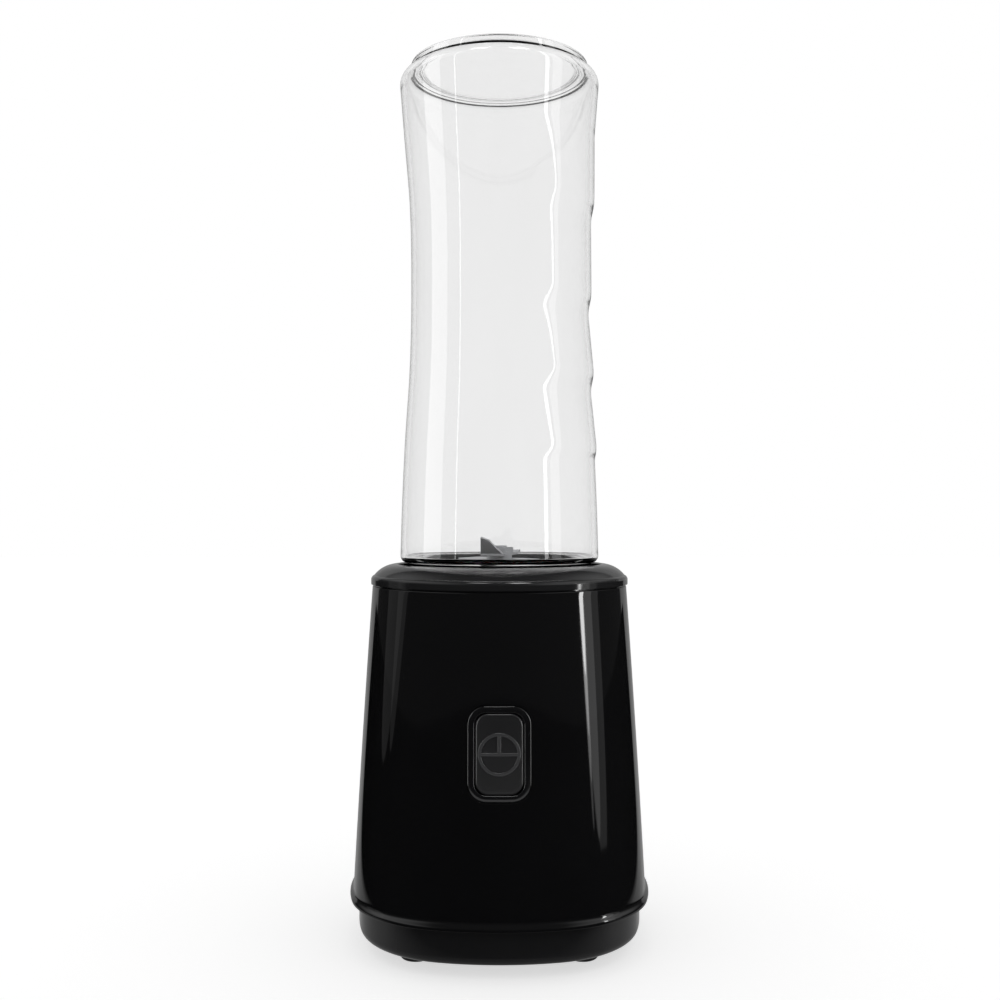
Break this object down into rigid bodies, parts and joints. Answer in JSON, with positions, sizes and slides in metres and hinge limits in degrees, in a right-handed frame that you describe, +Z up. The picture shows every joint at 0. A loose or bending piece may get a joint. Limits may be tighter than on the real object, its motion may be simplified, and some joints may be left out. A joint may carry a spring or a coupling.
{
  "type": "personal countertop blender",
  "caption": "Personal countertop blender: tapered glossy base with a front push button, screw-on blade holder and an inverted clear bottle with finger grips.",
  "frame": {"origin": "on the drive axis at the surface that the feet stand on", "axes": "+Z up along the drive axis, the button faces -Y, +X to the right of the front"},
  "size_m": [0.1176, 0.1176, 0.345],
  "materials": {
    "gloss_shell": "gloss",
    "satin_cover": "satin",
    "gloss_trim": "gloss",
    "satin_key": "satin",
    "holder_plastic": "satin",
    "clear_copolyester": "gloss",
    "silicone": "matte",
    "rubber_parts": "matte",
    "switch_plastic": "satin",
    "nylon": "satin",
    "coupler_plastic": "satin",
    "bronze": "satin",
    "stainless": "brushed",
    "plated_steel": "satin",
    "lamination_steel": "matte",
    "enamelled_wire": "satin",
    "copper": "polished",
    "brass_guide": "satin",
    "carbon": "matte",
    "circuit_board": "gloss",
    "component_plastic": "gloss",
    "spring_steel": "satin",
    "screw_steel": "satin"
  },
  "bodies": {
    "base": {"housing": "gloss_shell", "top_cover": "satin_cover", "bottom_cover": "satin_cover", "foot_front_left": "rubber_parts", "foot_front_right": "rubber_parts", "foot_back_left": "rubber_parts", "foot_back_right": "rubber_parts", "button_bezel": "gloss_trim", "button_spring": "spring_steel", "switch_holder": "satin_cover", "switch_screws": "screw_steel", "pulse_switch": "switch_plastic", "interlock_spring": "spring_steel", "interlock_switch": "switch_plastic", "control_board": "circuit_board", "board_components": "component_plastic", "board_screws": "screw_steel", "cord_gland": "rubber_parts", "bottom_cover_screws": "screw_steel", "top_cover_screws": "screw_steel", "stator_core": "lamination_steel", "field_coil_front": "enamelled_wire", "field_coil_back": "enamelled_wire", "upper_motor_bracket": "plated_steel", "lower_motor_bracket": "plated_steel", "upper_bearing": "plated_steel", "lower_bearing": "plated_steel", "motor_bolts": "screw_steel", "motor_screws": "screw_steel", "motor_damper_front_left": "rubber_parts", "motor_damper_front_right": "rubber_parts", "motor_damper_back_left": "rubber_parts", "motor_damper_back_right": "rubber_parts", "brush_holder_left": "brass_guide", "brush_holder_right": "brass_guide", "carbon_brush_left": "carbon", "carbon_brush_right": "carbon"},
    "rotor": {"motor_shaft": "plated_steel", "armature_core": "lamination_steel", "armature_windings": "enamelled_wire", "commutator": "copper", "cooling_fan": "nylon", "drive_coupler": "coupler_plastic"},
    "cup": {"blade_holder": "holder_plastic", "blade_bushing": "bronze"},
    "blades": {"blade_shaft": "stainless", "driven_coupler": "coupler_plastic", "upper_blade": "stainless", "lower_blade": "stainless", "blade_washers": "stainless", "blade_nut": "stainless"},
    "seal": {"cup_seal": "silicone"},
    "bottle": {"bottle": "clear_copolyester"},
    "button": {"push_button": "satin_key"},
    "plunger": {"switch_plunger": "nylon"},
    "interlock": {"interlock_pin": "nylon"}
  },
  "joints": [
    {"name": "cup_lift", "type": "slide", "parent": "base", "child": "cup", "axis": [0, 0, 1], "range_m": [0, 0.08]},
    {"name": "bottle_turn", "type": "hinge", "parent": "cup", "child": "seal", "pos_m": [0, 0, 0.134], "axis": [0, 0, 1], "range_deg": [0, 540]},
    {"name": "bottle_rise", "type": "slide", "parent": "seal", "child": "bottle", "axis": [0, 0, 1], "range_m": [0, 0.0091]},
    {"name": "rotor_spin", "type": "hinge", "parent": "base", "child": "rotor", "pos_m": [0, 0, 0.1], "axis": [0, 0, 1], "continuous": true},
    {"name": "blade_spin", "type": "hinge", "parent": "cup", "child": "blades", "pos_m": [0, 0, 0.14], "axis": [0, 0, 1], "continuous": true},
    {"name": "button_press", "type": "slide", "parent": "base", "child": "button", "axis": [0, 1, 0], "range_m": [0, 0.002], "stiffness_N_per_m": 500, "springref_m": -0.002, "deforming": ["button_spring"]},
    {"name": "plunger_press", "type": "slide", "parent": "base", "child": "plunger", "axis": [0, 1, 0], "range_m": [0, 0.002]},
    {"name": "interlock_press", "type": "slide", "parent": "base", "child": "interlock", "axis": [0, 0, 1], "range_m": [-0.0015, 0], "stiffness_N_per_m": 300, "springref_m": 0.003, "deforming": ["interlock_spring"]}
  ],
  "couplings": [
    {"joint": "bottle_rise", "follows": "bottle_turn", "m_per_rad": 0.00095493},
    {"joint": "blade_spin", "follows": "rotor_spin", "ratio": 1},
    {"joint": "plunger_press", "follows": "button_press", "ratio": 1}
  ]
}
